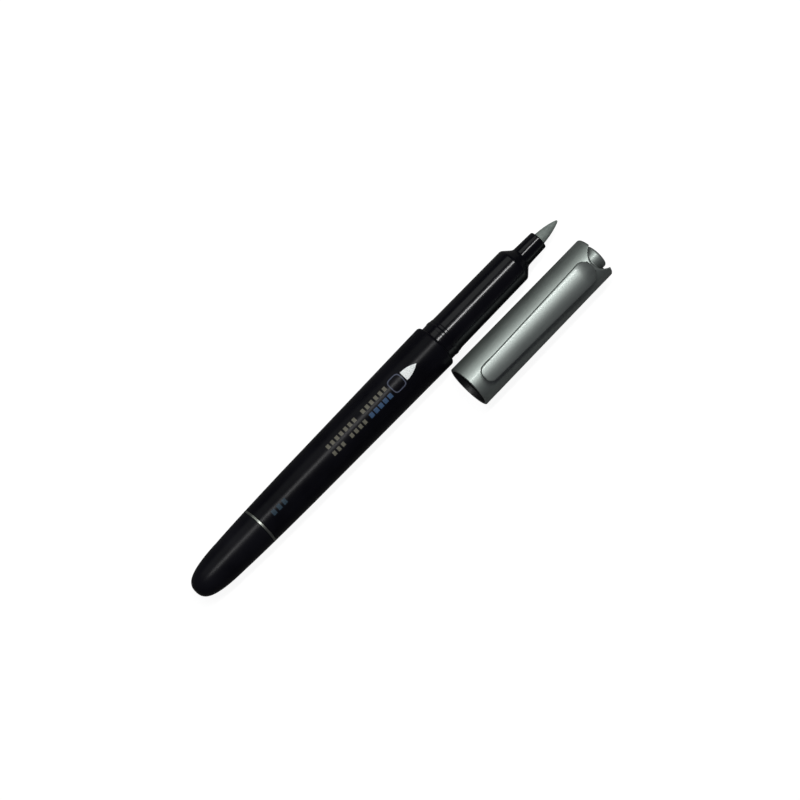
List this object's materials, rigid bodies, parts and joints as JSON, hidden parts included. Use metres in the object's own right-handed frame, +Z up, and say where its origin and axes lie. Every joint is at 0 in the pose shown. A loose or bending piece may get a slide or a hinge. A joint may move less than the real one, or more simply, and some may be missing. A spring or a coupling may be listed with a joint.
{
  "type": "brush pen",
  "caption": "Slim round brush pen with a domed tail, stepped grip and soft felt point, lying uncapped beside its cylindrical cap with a long pocket clip.",
  "frame": {"origin": "on the table, under the middle of the box round pen and cap", "axes": "+X along the pen from its tail to its tip, +Y from the cap towards the pen, +Z up"},
  "size_m": [0.136, 0.0264, 0.0149],
  "materials": {
    "barrel_black": "glossy black moulded plastic",
    "tail_black": "glossy black moulded plastic",
    "ring_silver": "silver metallised plastic",
    "cap_grey": "gunmetal grey metallic lacquer, satin gloss",
    "moulded_white": "natural white moulded plastic",
    "felt_grey": "bonded fibre felt stained by ink",
    "fibre_white": "polyester fibre bundle",
    "film_clear": "thin wrapping film"
  },
  "bodies": {
    "pen": {"barrel": "barrel_black", "tail_plug": "tail_black", "tail_ring": "ring_silver", "front_section": "barrel_black", "nib_holder": "moulded_white", "nib_shank": "felt_grey", "feed_wick": "fibre_white", "reservoir_core": "fibre_white", "reservoir_film": "film_clear"},
    "point": {"brush_tip": "felt_grey"},
    "cap": {"cap_shell": "cap_grey", "inner_cap": "moulded_white", "cap_crown": "cap_grey"},
    "pocket_clip": {"clip": "cap_grey"}
  },
  "joints": [
    {"name": "cap_slide", "type": "slide", "parent": "pen", "child": "cap", "axis": [1, 0, 0], "range_m": [0, 0.055]},
    {"name": "clip_flex", "type": "hinge", "parent": "cap", "child": "pocket_clip", "pos_m": [0.06225, -0.00773, 0.01221], "axis": [0, 0.9877, 0.1564], "range_deg": [0, 5], "stiffness_Nm_per_rad": 1, "springref_deg": -1.15},
    {"name": "tip_flex", "type": "hinge", "parent": "pen", "child": "point", "pos_m": [0.05955, 0.0068, 0.00638], "axis": [0, 1, 0], "range_deg": [-15, 15], "stiffness_Nm_per_rad": 0.03}
  ]
}
